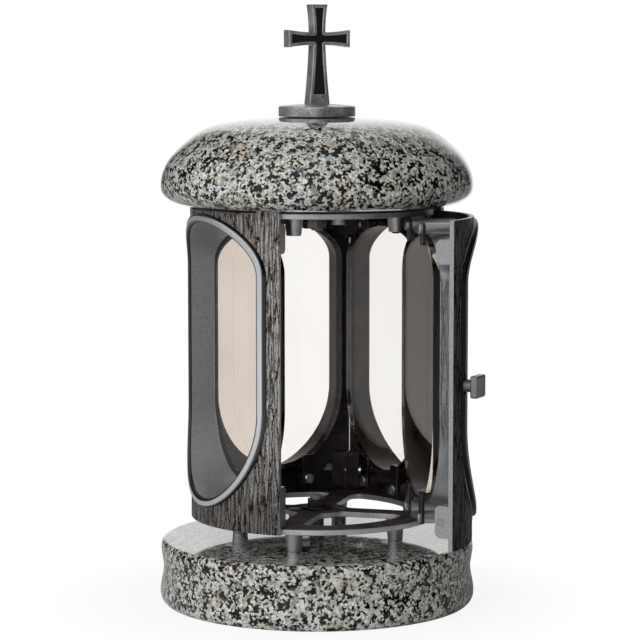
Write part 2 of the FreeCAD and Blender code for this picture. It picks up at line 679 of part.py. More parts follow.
def build_door():
    """The door panel, closed: hinge lugs on its +X edge and closing lugs on its free edge."""
    door_gap = math.degrees(HINGE_DOOR_GAP / WALL_RADIUS)
    end = JOINT_STEP / 2 - door_gap
    body = panel_shell(-JOINT_STEP / 2 + HALF_GAP_ANGLE, end)
    body = body.fuse(lug(-1, DOOR_LOW_LUG_START, DOOR_LOW_LUG_HEIGHT))
    body = body.fuse(lug(-1, WALL_HEIGHT - DOOR_HIGH_LUG_DROP, DOOR_HIGH_LUG_HEIGHT))
    body = turned(body, PANEL_CENTRES["door"])
    for low, high in hinge_levels():
        half = HINGE_LUG_HALF_WIDTH
        near = HINGE_CIRCLE - half
        box = block(-half, half, -WALL_RADIUS + WALL_THICKNESS / 2, -near, low, high)
        upright = [edge for edge in box.Edges if edge.BoundBox.ZLength > half
                   and edge.BoundBox.Center.y > -HINGE_CIRCLE]
        box = box.makeFillet(half / 2, upright)
        opening = turned(tunnel(0), PANEL_CENTRES["door"])
        body = body.fuse(turned(box, HINGE_AZIMUTH).cut(opening))
    body = body.cut(hinge_bore(HINGE_PIN_RADIUS))
    notch_start = OPEN_JOINT_AZIMUTH + JOINT_STEP - math.degrees(HINGE_NOTCH_WIDTH / WALL_RADIUS)
    notch_end = OPEN_JOINT_AZIMUTH + JOINT_STEP
    reach = WALL_RADIUS + OVERRUN
    low_notch = wedge(reach, notch_start, notch_end, WALL_BASE - OVERRUN,
                      PLATE_TOP + MOVING_CLEARANCE)
    high_notch = wedge(reach, notch_start, notch_end, HIGH_PLATE_BASE - MOVING_CLEARANCE,
                       WALL_TOP + OVERRUN)
    body = body.cut(low_notch).cut(high_notch)
    body = body.cut(turned(magnet_bore(1, magnet_height()), OPEN_JOINT_AZIMUTH))
    return body.cut(knob_bore(OVERRUN)).removeSplitter()


def build_knob():
    """A square knob on a round neck, held by a short headless screw."""
    z = WALL_BASE + KNOB_RISE
    neck = Part.makeCylinder(KNOB_STEM_RADIUS, KNOB_STAND + BEAD_ROUND / 2,
                             Vector(0, -BEAD_RADIUS + BEAD_ROUND / 2, z), Vector(0, -1, 0))
    half = KNOB_SIZE / 2
    face = BEAD_RADIUS + KNOB_STAND
    head = block(-half, half, -face - KNOB_HEAD, -face, z - half, z + half)
    head = head.makeFillet(KNOB_ROUND, head.Edges)
    knob = turned(head.fuse(neck), knob_azimuth())
    return knob.cut(knob_bore(KNOB_STAND)).cut(closed_door_skin())


def closed_door_skin():
    """The bead ring of the closed door, which the knob's neck is shaped to."""
    return turned(bead(), PANEL_CENTRES["door"])


def build_pins_and_bushes():
    """Hinge pins, fixed in the door's lugs, and their clear cone bushes, flat beside the wall."""
    centre = hinge_point()
    (low_start, low_end), (high_start, high_end) = hinge_levels()
    lower_pin = cylinder(HINGE_PIN_RADIUS, PLATE_BASE, low_end, centre)
    upper_pin = cylinder(HINGE_PIN_RADIUS, high_start, HIGH_PLATE_TOP, centre)
    bore = hinge_bore(HINGE_PIN_RADIUS)
    wall_side = cylinder(INNER_RADIUS, WALL_BASE, WALL_TOP)
    lower_bush = cone(BUSH_WIDE_RADIUS, BUSH_NARROW_RADIUS, low_start - LOW_BUSH_HEIGHT,
                      low_start, centre).cut(bore).common(wall_side)
    upper_bush = cone(BUSH_NARROW_RADIUS, BUSH_WIDE_RADIUS, high_end,
                      high_end + HIGH_BUSH_HEIGHT, centre).cut(bore).common(wall_side)
    return lower_pin, upper_pin, lower_bush, upper_bush


def cross_face():
    """Outline of the cross in the XZ plane: flared arms and a stem that widens to its foot."""
    base = DISC_TOP - DISC_CROWN
    top = base + CROSS_HEIGHT
    middle = top - CROSS_CENTRE_DROP
    neck = ARM_NECK_WIDTH / 2
    tip = ARM_END_WIDTH / 2
    reach = CROSS_SPAN / 2
    foot = STEM_FOOT_WIDTH / 2
    corner = Vector(neck, 0, middle + neck)
    under = Vector(neck, 0, middle - neck)
    sag = (tip - neck) / 4
    right = [
        arc(Vector(tip, 0, top), Vector(neck + sag, 0, (top + corner.z) / 2), corner),
        arc(corner, Vector((neck + reach) / 2, 0, middle + neck + sag),
            Vector(reach, 0, middle + tip)),
        line(Vector(reach, 0, middle + tip), Vector(reach, 0, middle - tip)),
        arc(Vector(reach, 0, middle - tip), Vector((neck + reach) / 2, 0, middle - neck - sag),
            under),
        arc(under, Vector((neck + foot) / 2 - sag, 0, (under.z + base) / 2),
            Vector(foot, 0, base)),
    ]
    left = [edge.mirror(Vector(0, 0, 0), Vector(1, 0, 0)) for edge in right]
    crown = line(Vector(-tip, 0, top), Vector(tip, 0, top))
    sole = line(Vector(foot, 0, base), Vector(-foot, 0, base))
    edges = Part.sortEdges([crown, sole] + right + left)[0]
    return Part.Face(Part.Wire(edges))


def build_cross():
    """Cross with a recess in its front, and the black inlay that fills the recess."""
    face = cross_face()
    half = CROSS_DEPTH / 2
    body = moved(face, Vector(0, -half, 0)).extrude(Vector(0, CROSS_DEPTH, 0))
    field = face.makeOffset2D(-CROSS_RIM)
    pocket = moved(field, Vector(0, -half - OVERRUN, 0))
    pocket = pocket.extrude(Vector(0, OVERRUN + CROSS_RECESS, 0))
    floor = DISC_TOP - DISC_CROWN + CROSS_PLAIN_FOOT
    keep = block(-CROSS_SPAN, CROSS_SPAN, -CROSS_SPAN, CROSS_SPAN, floor, floor + CROSS_HEIGHT)
    pocket = pocket.common(keep)
    skim = block(-CROSS_SPAN, CROSS_SPAN, -half + INLAY_DROP, CROSS_SPAN, floor,
                 floor + CROSS_HEIGHT)
    inlay = pocket.common(skim)
    body = body.cut(pocket)
    rod = cylinder(ROD_RADIUS, DISC_TOP - OVERRUN, rod_top())
    dome = disc_solid()
    body = turned(body, CROSS_TURN).cut(dome).cut(rod)
    return body, turned(inlay, CROSS_TURN)


def rod_top():
    return DISC_TOP + ROD_GRIP


def disc_solid():
    """The cast disc under the cross, with a bevelled rim and a gently domed top."""
    rim = LID_TOP + DISC_SIDE
    edge_in = DISC_RADIUS - DISC_BEVEL
    rise = Vector(edge_in / 2, 0, rim + DISC_BEVEL + (DISC_CROWN - DISC_BEVEL) * DOME_MID_SHARE)
    edges = [line(Vector(0, 0, LID_TOP), Vector(DISC_RADIUS, 0, LID_TOP)),
             line(Vector(DISC_RADIUS, 0, LID_TOP), Vector(DISC_RADIUS, 0, rim)),
             line(Vector(DISC_RADIUS, 0, rim), Vector(edge_in, 0, rim + DISC_BEVEL)),
             arc(Vector(edge_in, 0, rim + DISC_BEVEL), rise, Vector(0, 0, DISC_TOP)),
             line(Vector(0, 0, DISC_TOP), Vector(0, 0, LID_TOP))]
    return revolve(edges)


def build_lid_fixings():
    """Rod from the cross down through the lid, and the dished washer and nut that pull it."""
    washer_low = HIGH_PLATE_BASE - LID_WASHER_HEIGHT
    nut_low = washer_low - LID_NUT_HEIGHT
    rod = cylinder(ROD_RADIUS, nut_low - ROD_TAIL, rod_top())
    flat = cylinder(LID_WASHER_RADIUS, HIGH_PLATE_BASE - LID_WASHER_TOP, HIGH_PLATE_BASE)
    dish = cone(LID_NUT_RADIUS, LID_WASHER_RADIUS, washer_low, HIGH_PLATE_BASE - LID_WASHER_TOP)
    washer = flat.fuse(dish).removeSplitter().cut(rod)
    nut = hexagon(LID_NUT_RADIUS, LID_NUT_HEIGHT, Vector(0, 0, nut_low), UP).cut(rod)
    gasket = ring(PLATE_RADIUS - GASKET_WIDTH, PLATE_RADIUS, HIGH_PLATE_TOP, LID_BASE)
    return rod, washer, nut, gasket


def build_anchor():
    """Studs let into the granite foot, and the washer and nut on the plate's hub."""
    nut_base = PLATE_TOP + ANCHOR_WASHER_HEIGHT
    stud = cylinder(ANCHOR_RADIUS, FOOT_TOP - ANCHOR_DEPTH,
                    nut_base + ANCHOR_NUT_HEIGHT + ANCHOR_TAIL)
    washer = ring(ANCHOR_RADIUS, ANCHOR_WASHER_RADIUS, PLATE_TOP, nut_base)
    sides = [cylinder(SIDE_STUD_RADIUS, FOOT_TOP - ANCHOR_DEPTH, PLATE_TOP, place)
             for place in side_stud_places()]
    nut = hexagon(ANCHOR_NUT_RADIUS, ANCHOR_NUT_HEIGHT, Vector(0, 0, nut_base), UP).cut(stud)
    return stud, washer, nut, Part.makeCompound(sides)


def build():
    """Every node of the lantern, by name, in the rest pose with the door open."""
    nodes = {}
    nodes["granite_foot"] = build_granite_foot()
    nodes["granite_lid"] = build_granite_lid()
    nodes["bottom_plate"], nodes["top_plate"] = build_plates()
    for name, shape in build_fixed_panels().items():
        nodes[name + "_panel"] = shape
        nodes[name + "_pane"] = turned(pane(), PANEL_CENTRES[name])
    clips = []
    screws = []
    for name in FIXED:
        for x, z in clip_places():
            clips.append(turned(clip(x, z), PANEL_CENTRES[name]))
            screws.append(turned(clip_screw(x, z), PANEL_CENTRES[name]))
    nodes["pane_clips"] = Part.makeCompound(clips)
    nodes["pane_clip_screws"] = Part.makeCompound(screws)
    joint_screws = []
    joint_nuts = []
    for azimuth in joint_azimuths():
        for z in joint_screw_heights():
            screw, nut = joint_screw(z)
            joint_screws.append(turned(screw, azimuth))
            joint_nuts.append(turned(nut, azimuth))
    nodes["panel_joint_screws"] = Part.makeCompound(joint_screws)
    nodes["panel_joint_nuts"] = Part.makeCompound(joint_nuts)
    azimuths = plate_screw_azimuths()
    nodes["bottom_plate_screws"] = Part.makeCompound([plate_screw(a, False) for a in azimuths])
    nodes["top_plate_screws"] = Part.makeCompound([plate_screw(a, True) for a in azimuths])
    nodes["frame_magnet"] = turned(magnet(-1, magnet_height()), OPEN_JOINT_AZIMUTH)
    rod, washer, nut, gasket = build_lid_fixings()
    nodes["lid_tie_rod"] = rod
    nodes["lid_washer"] = washer
    nodes["lid_nut"] = nut
    nodes["lid_gasket"] = gasket
    stud, hub_washer, hub_nut, side_studs = build_anchor()
    nodes["anchor_stud"] = stud
    nodes["anchor_washer"] = hub_washer
    nodes["anchor_nut"] = hub_nut
    nodes["foot_side_studs"] = side_studs
    nodes["cross_disc"] = disc_solid().cut(rod)
    nodes["cross"], nodes["cross_inlay"] = build_cross()

    door = {"door_panel": build_door()}
    door["door_pane"] = turned(pane(), PANEL_CENTRES["door"])
    centre = PANEL_CENTRES["door"]
    door["door_clips"] = Part.makeCompound([turned(clip(x, z), centre) for x, z in clip_places()])
    door_screws = [turned(clip_screw(x, z), centre) for x, z in clip_places()]
    door["door_clip_screws"] = Part.makeCompound(door_screws)
    door["door_magnet"] = turned(magnet(1, magnet_height()), OPEN_JOINT_AZIMUTH)
    door["door_knob"] = build_knob()
    door["knob_screw"] = knob_bore(KNOB_STAND)
    lower_pin, upper_pin, lower_bush, upper_bush = build_pins_and_bushes()
    door["lower_hinge_pin"] = lower_pin
    door["upper_hinge_pin"] = upper_pin
    door["lower_hinge_bush"] = lower_bush
    door["upper_hinge_bush"] = upper_bush
    for name, shape in door.items():
        nodes[name] = turned(shape, DOOR_OPEN_ANGLE, hinge_point())
    return nodes


for name, shape in build().items():
    solids = shape.Solids
    box = shape.BoundBox
    print(name, "solids", len(solids), "valid", shape.isValid(), "volume", round(shape.Volume),
          "z", round(box.ZMin, 1), round(box.ZMax, 1))
    shape.exportStep("parts/" + name + ".step")
print("hinge axis at", [round(value, 4) for value in hinge_point()])
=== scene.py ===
# %% [markdown]
# A grave lantern stands in a cemetery for years, so it is made of things that last: a polished
# granite foot and lid, a cage of four cast aluminium panels with smoked panes, and a cast cross.
# This lesson dresses the measured model of that lantern. The shapes are already there and stay as
# they are, so the work is in the finishes and in the light. We start by loading the model.

# %% Load the measured model
import json
import math
import bpy
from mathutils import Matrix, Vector

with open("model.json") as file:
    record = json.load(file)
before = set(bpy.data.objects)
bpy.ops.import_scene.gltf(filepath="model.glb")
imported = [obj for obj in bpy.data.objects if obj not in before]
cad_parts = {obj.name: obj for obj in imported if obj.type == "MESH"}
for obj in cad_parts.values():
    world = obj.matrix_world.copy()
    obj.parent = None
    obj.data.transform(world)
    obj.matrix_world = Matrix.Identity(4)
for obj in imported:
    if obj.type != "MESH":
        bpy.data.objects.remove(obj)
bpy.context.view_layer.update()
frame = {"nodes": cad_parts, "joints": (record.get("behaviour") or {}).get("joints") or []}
MM = 0.001
nodes = frame["nodes"]
scene = bpy.context.scene

# %% [markdown]
# Colours are written as the hex values that a picture editor shows. The renderer works in linear
# light, so one function turns a hex value into linear red, green and blue. A small function adds a
# node with its settings and its links, and every material below is built with it. Where a node has
# unnamed twins among its inputs, they go by number: a Map Range reads between inputs 1 and 2 and
# gives between 3 and 4, and a Mix blends numbers 2 and 3 or colours 6 and 7.

# %% Colour and node helpers
def linear(hexa):
    """Linear red, green, blue and alpha of a hex colour."""
    parts = [int(hexa[i:i + 2], 16) / 255 for i in (1, 3, 5)]
    return tuple(p / 12.92 if p <= 0.04045 else ((p + 0.055) / 1.055) ** 2.4
                 for p in parts) + (1,)


def join(tree, node, inputs):
    """Sets a node's inputs. A node or an output is linked, and any other value is set."""
    for socket, value in inputs.items():
        if isinstance(value, bpy.types.Node):
            value = next(output for output in value.outputs if output.enabled)
        if isinstance(value, bpy.types.NodeSocket):
            tree.links.new(value, node.inputs[socket])
        else:
            node.inputs[socket].default_value = value


def add(tree, kind, inputs=None, stops=None, **settings):
    """Adds a node with its settings, its links and, on a colour ramp, its (place, hex) stops."""
    made = tree.nodes.new(kind)
    for name, value in settings.items():
        setattr(made, name, value)
    join(tree, made, inputs or {})
    if stops:
        elements = made.color_ramp.elements
        while len(elements) < len(stops):
            elements.new(0.5)
        for element, (position, hexa) in zip(elements, stops):
            element.position = position
            element.color = linear(hexa)
    return made


def finish_of(name, constants):
    """A new material, its node tree and its shader, with the constants on the shader itself."""
    made = bpy.data.materials.new(name)
    made.use_nodes = True
    shader = made.node_tree.nodes["Principled BSDF"]
    join(made.node_tree, shader, constants)
    return made, made.node_tree, shader


print("white is", [round(c, 3) for c in linear("#ffffff")],
      "and mid grey", round(linear("#808080")[0], 3))

# %% [markdown]
# The foot and the lid are granite, sawn, turned and polished. Granite is a crowd of crystals:
# white and warm grey feldspar, glassy grey quartz and black mica. A picture of stone wrapped round
# the lid would stretch and show a seam, so the crystals are grown right through the stone instead.
# The cells of a Voronoi pattern are such a crowd: each cell has a random number, and a colour ramp
# turns the numbers into minerals. A noise bends the cells' borders, so that no grain has straight
# sides. A wide noise warms whole patches, and a fine one clouds the pale crystals from inside.

# %% Pale crystals of the granite
GRAIN = 1.5 * MM
BORDER_BEND = 1.1 * MM
BEND_REACH = 1.2 * MM
WARM_PATCH = 9 * MM
CLOUD = 0.8 * MM

# The polish gives the eye clear reflections: dim where it looks straight on, white at the rims.
granite, tree, shader = finish_of("polished_granite", {
    "Roughness": 0.07, "IOR": 1.38, "Coat Weight": 1.0, "Coat Roughness": 0.03, "Coat IOR": 1.25})
place = add(tree, "ShaderNodeTexCoord").outputs["Object"]
bend = add(tree, "ShaderNodeTexNoise", {"Vector": place, "Scale": 1 / BORDER_BEND, "Detail": 3.0})
push = add(tree, "ShaderNodeVectorMath", {0: bend.outputs["Color"], 1: (0.5, 0.5, 0.5)},
           operation="SUBTRACT")
push = add(tree, "ShaderNodeVectorMath", {0: push, "Scale": BEND_REACH}, operation="SCALE")
bent = add(tree, "ShaderNodeVectorMath", {0: place, 1: push})
grains = add(tree, "ShaderNodeTexVoronoi",
             {"Vector": bent, "Scale": 1 / GRAIN, "Smoothness": 0.25}, feature="SMOOTH_F1")
number = add(tree, "ShaderNodeSeparateColor", {"Color": grains.outputs["Color"]}).outputs["Red"]
pale = add(tree, "ShaderNodeValToRGB", {"Fac": number}, stops=[
    (0.0, "#70726c"), (0.12, "#a1a39d"), (0.35, "#d2d3ce"), (0.7, "#e9eae6"), (1.0, "#fbfbf9")])
warm = add(tree, "ShaderNodeTexNoise", {"Vector": place, "Scale": 1 / WARM_PATCH, "Detail": 3.0})
warm = add(tree, "ShaderNodeValToRGB", {"Fac": warm},
           stops=[(0.4, "#f5f7f8"), (0.52, "#f7f6f2"), (0.68, "#ebe1d1")])
cloud = add(tree, "ShaderNodeTexNoise", {"Vector": place, "Scale": 1 / CLOUD, "Detail": 2.0})
cloud = add(tree, "ShaderNodeValToRGB", {"Fac": cloud},
            stops=[(0.34, "#b8b9b7"), (0.48, "#f0f0ee"), (0.56, "#ffffff")])
for layer in (warm, cloud):
    pale = add(tree, "ShaderNodeMix", {"Factor": 1.0, 6: pale, 7: layer},
               data_type="RGBA", blend_type="MULTIPLY")
print("pale grains", GRAIN / MM, "mm, clouds in them", CLOUD / MM, "mm")

# %% [markdown]
# The mica is what makes this granite dark: black flakes a millimetre across that gather in
# clusters. They are a second, finer crowd of cells, in which the low numbers are black. A noise
# added to the numbers makes black cells common in one place and rare in the next, and so the
# clusters appear without being drawn.

# %% Mica flakes and the finished stone
MICA = 1.1 * MM
CLUSTER = 3.4 * MM

flakes = add(tree, "ShaderNodeTexVoronoi", {"Vector": bent, "Scale": 1 / MICA})
flake = add(tree, "ShaderNodeSeparateColor", {"Color": flakes.outputs["Color"]}).outputs["Green"]
gather = add(tree, "ShaderNodeTexNoise", {"Vector": place, "Scale": 1 / CLUSTER, "Detail": 2.0})
gather = add(tree, "ShaderNodeMapRange", {"Value": gather, 1: 0.35, 2: 0.65, 3: -0.35, 4: 0.4},
             clamp=False)
flake = add(tree, "ShaderNodeMath", {0: gather, 1: flake})
dark = add(tree, "ShaderNodeValToRGB", {"Fac": flake}, stops=[
    (0.0, "#060708"), (0.29, "#0d0e10"), (0.34, "#4c4e51"), (0.4, "#b3b4b2"), (0.46, "#ffffff")])
stone = add(tree, "ShaderNodeMix", {"Factor": 1.0, 6: pale, 7: dark},
            data_type="RGBA", blend_type="MULTIPLY")
join(tree, shader, {"Base Color": stone})
for name in ("granite_foot", "granite_lid"):
    nodes[name].data.materials[0] = granite
print("mica flakes", MICA / MM, "mm, in clusters", CLUSTER / MM, "mm apart")

# %% [markdown]
# Each panel is one sand casting that shows four finishes: bark outside, a polished bead round the
# window, a matt grey reveal, and a dark inside. They could be painted on face by face, but the
# distance from the cage's axis and the direction that the surface faces tell them apart, and that
# holds for every panel. The bark lies on the wall's own radius and the bead stands proud of it.
# The reveals at the back and the right are painted brown as shade, so a direction across the cage
# tells that too.

# %% Tell the faces of a panel apart
WALL_RADIUS = 55.0  # in mm
# The painted shade on the reveals lies towards the back right, along this direction.
SHADE_WAY = (0.5, 0.87, 0)
# Each mask grows from 0 to 1 between two limits: of facing, where 1 is straight out and -1 is
# straight in, of millimetres outside the wall, and of millimetres from the axis towards the back
# right, where the shade is painted.
CLEAN_FACING = (-0.85, -0.75)
FRONT_FACING = (0.45, 0.55)
PROUD_OF_WALL = (0.1, 0.2)
# The crown's mask places the painted shade in the groove at the bead's foot.
BEAD_CROWN = (0.3, 1.5)
SHADED_BEHIND = (-12, 4)


def faces_of(tree, place, normal, axis):
    """How far a point is each kind of face, from 0 to 1, on a panel curved round an axis."""
    offset = add(tree, "ShaderNodeVectorMath", {0: place, 1: (axis[0], axis[1], 0)},
                 operation="SUBTRACT")
    flat = add(tree, "ShaderNodeVectorMath", {0: offset, 1: (1, 1, 0)}, operation="MULTIPLY")
    radius = add(tree, "ShaderNodeVectorMath", {0: flat}, operation="LENGTH")
    outward = add(tree, "ShaderNodeVectorMath", {0: flat}, operation="NORMALIZE")
    facing = add(tree, "ShaderNodeVectorMath", {0: normal, 1: outward}, operation="DOT_PRODUCT")
    behind = add(tree, "ShaderNodeVectorMath", {0: place, 1: SHADE_WAY}, operation="DOT_PRODUCT")
    limits = {"clean": (facing, CLEAN_FACING), "front": (facing, FRONT_FACING),
              "proud": (radius, [(WALL_RADIUS + step) * MM for step in PROUD_OF_WALL]),
              "crown": (radius, [(WALL_RADIUS + step) * MM for step in BEAD_CROWN]),
              "smoked": (behind, [step * MM for step in SHADED_BEHIND])}
    faces = {name: add(tree, "ShaderNodeMapRange", {"Value": value, 1: start, 2: end})
             for name, (value, (start, end)) in limits.items()}
    on_wall = add(tree, "ShaderNodeMath", {0: 1.0, 1: faces["proud"]}, operation="SUBTRACT")
    faces["bark"] = add(tree, "ShaderNodeMath", {0: faces["front"], 1: on_wall},
                        operation="MULTIPLY")
    faces["bead"] = add(tree, "ShaderNodeMath", {0: faces["proud"], 1: faces["clean"]},
                        operation="MULTIPLY")
    faces["outside"] = add(tree, "ShaderNodeMath", {0: faces["bead"], 1: faces["bark"]},
                           operation="MAXIMUM")
    return facing, faces


print("wall radius", WALL_RADIUS, "mm, bead from", PROUD_OF_WALL[0], "mm outside it")

# %% [markdown]
# The bark is cast in: upright fibres with dark gaps between them, fine streaks along them, and
# short raised curls across. Sculpting thousands of fibres would make the mesh heavy, and they are
# under half a millimetre deep, so a height pattern serves both the relief and the colour. The
# fibres are cells of a Voronoi pattern stretched along Z, 1.7 mm wide and seventeen times as long.
# The curls lie where a noise crosses its own middle value. In the colour they come out white, a
# painted highlight.

# %% Height of the bark
FIBRE = 1.7 * MM
FIBRE_STRETCH = (1, 1, 0.06)
STREAK = 0.6 * MM
CURL = 1.3 * MM
CURL_STRETCH = (1, 1, 0.45)
WANDER = 12 * MM
WANDER_REACH = 2.4 * MM
# A curl adds half a ridge's height, and the sum is divided by its usual top.
CURL_SHARE = 0.5
USUAL_TOP = 1.3


def bark_height(tree, place):
    """Height of the cast bark, from 0 in the gaps to about 1 on the curls."""
    wander = add(tree, "ShaderNodeTexNoise",
                 {"Vector": place, "Scale": 1 / WANDER, "Detail": 3.0})
    push = add(tree, "ShaderNodeVectorMath", {0: wander.outputs["Color"], "Scale": WANDER_REACH},
               operation="SCALE")
    bent = add(tree, "ShaderNodeVectorMath", {0: place, 1: push})
    along = add(tree, "ShaderNodeVectorMath", {0: bent, 1: FIBRE_STRETCH}, operation="MULTIPLY")
    fibres = add(tree, "ShaderNodeTexVoronoi", {"Vector": along, "Scale": 1 / FIBRE},
                 feature="DISTANCE_TO_EDGE")
    fibres = add(tree, "ShaderNodeMapRange", {"Value": fibres, 1: 0.0, 2: 0.13})
    streaks = add(tree, "ShaderNodeTexNoise",
                  {"Vector": along, "Scale": 1 / STREAK, "Detail": 2.0})
    streaks = add(tree, "ShaderNodeMapRange",
                  {"Value": streaks, 1: 0.35, 2: 0.65, 3: 0.35, 4: 1.0})
    ridge = add(tree, "ShaderNodeMath", {0: fibres, 1: streaks}, operation="MULTIPLY")
    across = add(tree, "ShaderNodeVectorMath", {0: bent, 1: CURL_STRETCH}, operation="MULTIPLY")
    curls = add(tree, "ShaderNodeTexNoise",
                {"Vector": across, "Scale": 1 / CURL, "Detail": 2.0, "Roughness": 0.6})
    curls = add(tree, "ShaderNodeMath", {0: curls, 1: 0.5}, operation="SUBTRACT")
    curls = add(tree, "ShaderNodeMath", {0: curls}, operation="ABSOLUTE")
    curls = add(tree, "ShaderNodeMapRange", {"Value": curls, 1: 0.045, 2: 0.012})
    # The curls lift the height to the top of the bark's colour ramp, so they are painted white: a
    # painted highlight.
    height = add(tree, "ShaderNodeMath", {0: curls, 1: CURL_SHARE, 2: ridge},
                 operation="MULTIPLY_ADD")
    return add(tree, "ShaderNodeMath", {0: height, 1: USUAL_TOP}, operation="DIVIDE")


print("fibres", round(FIBRE / MM, 1), "mm wide and",
      round(FIBRE / MM / FIBRE_STRETCH[2]), "mm long")

# %% [markdown]
# Each finish of the casting has a colour of its own. The bark was blackened and then rubbed, so it
# is black in its gaps and silver on its ridges, and painted shade makes it darker towards the
# bottom and the top, so that it is brightest in the middle of the height. The bead has a painted
# highlight where it faces straight out and painted shade in the groove beside it. The reveal keeps
# the grey of the mould's sand, with painted shade in brown on the reveals at the back and the
# right. Soot lies on the inside in soft patches, and it is painted darker still as the shade
# inside the cage.

# %% Colours of the casting
# Between these heights the painted shade on the bark lifts to full brightness and falls again.
SHADE_LOW = 30 * MM
SHADE_HIGH = 190 * MM
SOOT_AND_SHADE_PATCH = 7 * MM


def casting_colours(tree, place, facing, faces, height, grit):
    """Colours of the bark, the bead, the reveal and the inside."""
    # Black in the gaps and silver on the ridges is the bark's patina. The white at the top, where
    # the curls are, is a painted highlight.
    bark = add(tree, "ShaderNodeValToRGB", {"Fac": height}, stops=[
        (0.0, "#17110f"), (0.2, "#6e6259"), (0.42, "#b8afa6"), (0.6, "#e8e4de"), (0.8, "#ffffff")])
    # Painted shade: the bark is darker towards the bottom and the top.
    level = add(tree, "ShaderNodeSeparateXYZ", {0: place}).outputs["Z"]
    level = add(tree, "ShaderNodeMapRange", {"Value": level, 1: SHADE_LOW, 2: SHADE_HIGH})
    rub_and_height_shade = add(tree, "ShaderNodeValToRGB", {"Fac": level}, stops=[
        (0.1, "#a8a8a8"), (0.35, "#ffffff"), (0.8, "#ffffff"), (0.95, "#a0a0a0")])
    # Painted highlight: the bead is painted brighter the more it faces straight out.
    bead = add(tree, "ShaderNodeValToRGB", {"Fac": facing}, stops=[
        (0.3, "#4b4a49"), (0.8, "#747577"), (0.95, "#a9aaac"), (0.99, "#fbfcfd")])
    # Painted shade: the groove at the foot of the bead is painted dark.
    groove_shade = add(tree, "ShaderNodeValToRGB", {"Fac": faces["crown"]},
                 stops=[(0.0, "#3b3937"), (0.2, "#ffffff")])
    bark, bead = [add(tree, "ShaderNodeMix", {"Factor": 1.0, 6: colour, 7: painted_shade},
                      data_type="RGBA", blend_type="MULTIPLY")
                  for colour, painted_shade in ((bark, rub_and_height_shade), (bead, groove_shade))]
    # The inside is soot in soft patches, painted darker as the shade inside the cage.
    soot_and_shade = add(tree, "ShaderNodeTexNoise",
               {"Vector": place, "Scale": 1 / SOOT_AND_SHADE_PATCH, "Detail": 4.0})
    inside = add(tree, "ShaderNodeValToRGB", {"Fac": soot_and_shade},
                 stops=[(0.35, "#15100f"), (0.55, "#2b2321"), (0.75, "#463b38")])
    # Painted shade: the reveals at the back and the right are painted brown.
    back_shade_brown = add(tree, "ShaderNodeValToRGB", {"Fac": soot_and_shade},
                  stops=[(0.35, "#37302e"), (0.7, "#5c5350")])
    reveal = add(tree, "ShaderNodeValToRGB", {"Fac": grit},
                 stops=[(0.3, "#b0b1b4"), (0.7, "#d8d9db")])
    reveal = add(tree, "ShaderNodeMix", {"Factor": faces["smoked"], 6: reveal, 7: back_shade_brown},
                 data_type="RGBA")
    return bark, bead, reveal, inside


# The heights over which the bark's painted shade changes.
print("the painted height shade runs from", SHADE_LOW / MM, "to", SHADE_HIGH / MM, "mm above the ground")

# %% [markdown]
# Now the finishes come together in one material for each panel. It starts with the inside and lays
# the reveal, the bead and the bark over it, each where its own face is. A painted shade for each
# casting darkens its outside as a whole: the door stands in shade, so its bark is painted nearly
# black. The door curves round an axis of its own while it is open: the cage's axis, turned about
# the hinge by as far as the door stands open.

# %% Bark-cast aluminium on the four panels
MOULD_GRIT = 0.5 * MM
GRIT_DEPTH = 0.1 * MM
BARK_DEPTH = 0.45 * MM
MOULD_ROUGH, BEAD_ROUGH = 0.46, 0.2
GAP_ROUGH, RIDGE_ROUGH = 0.6, 0.28
SOOT_AND_SHADE_METAL = 0.3


def bark_cast(name, axis, painted_shade):
    """Blackened cast aluminium. The eye gets a silver net on black, and soft highlights."""
    made, tree, shader = finish_of(name, {"Roughness": 0.4, "Metallic": 1.0})
    coords = add(tree, "ShaderNodeTexCoord").outputs
    place = coords["Object"]
    facing, faces = faces_of(tree, place, coords["Normal"], axis)
    height = bark_height(tree, place)
    grit = add(tree, "ShaderNodeTexNoise",
               {"Vector": place, "Scale": 1 / MOULD_GRIT, "Detail": 2.0})
    bark, bead, reveal, colour = casting_colours(tree, place, facing, faces, height, grit)
    # The last layer is the painted shade, which darkens the outside of a casting as a whole.
    for face, over, blend in (("clean", reveal, "MIX"), ("bead", bead, "MIX"),
                              ("bark", bark, "MIX"), ("outside", linear(painted_shade), "MULTIPLY")):
        colour = add(tree, "ShaderNodeMix", {"Factor": faces[face], 6: colour, 7: over},
                     data_type="RGBA", blend_type=blend)
    rub_and_height_shade = add(tree, "ShaderNodeMapRange",
                 {"Value": height, 1: 0.2, 2: 0.9, 3: GAP_ROUGH, 4: RIDGE_ROUGH})
    rough = add(tree, "ShaderNodeMix", {"Factor": faces["bead"], 2: MOULD_ROUGH, 3: BEAD_ROUGH})
    rough = add(tree, "ShaderNodeMix", {"Factor": faces["bark"], 2: rough, 3: rub_and_height_shade})
    # Where soot and painted shade lie, on the inside and the reveals towards the back right, the
    # metal fades.
    soot_and_shade_behind = add(tree, "ShaderNodeMath", {0: 1.0, 1: faces["outside"]}, operation="SUBTRACT")
    soot_and_shade_behind = add(tree, "ShaderNodeMath", {0: soot_and_shade_behind, 1: faces["smoked"]}, operation="MULTIPLY")
    bare = add(tree, "ShaderNodeMapRange", {"Value": soot_and_shade_behind, 3: 1.0, 4: SOOT_AND_SHADE_METAL})
    grain = add(tree, "ShaderNodeBump", {"Strength": 0.25, "Distance": GRIT_DEPTH, "Height": grit})
    relief = add(tree, "ShaderNodeBump", {"Strength": faces["bark"], "Distance": BARK_DEPTH,
                                          "Height": height, "Normal": grain})
    join(tree, shader, {"Base Color": colour, "Roughness": rough, "Metallic": bare,
                        "Normal": relief})
    return made


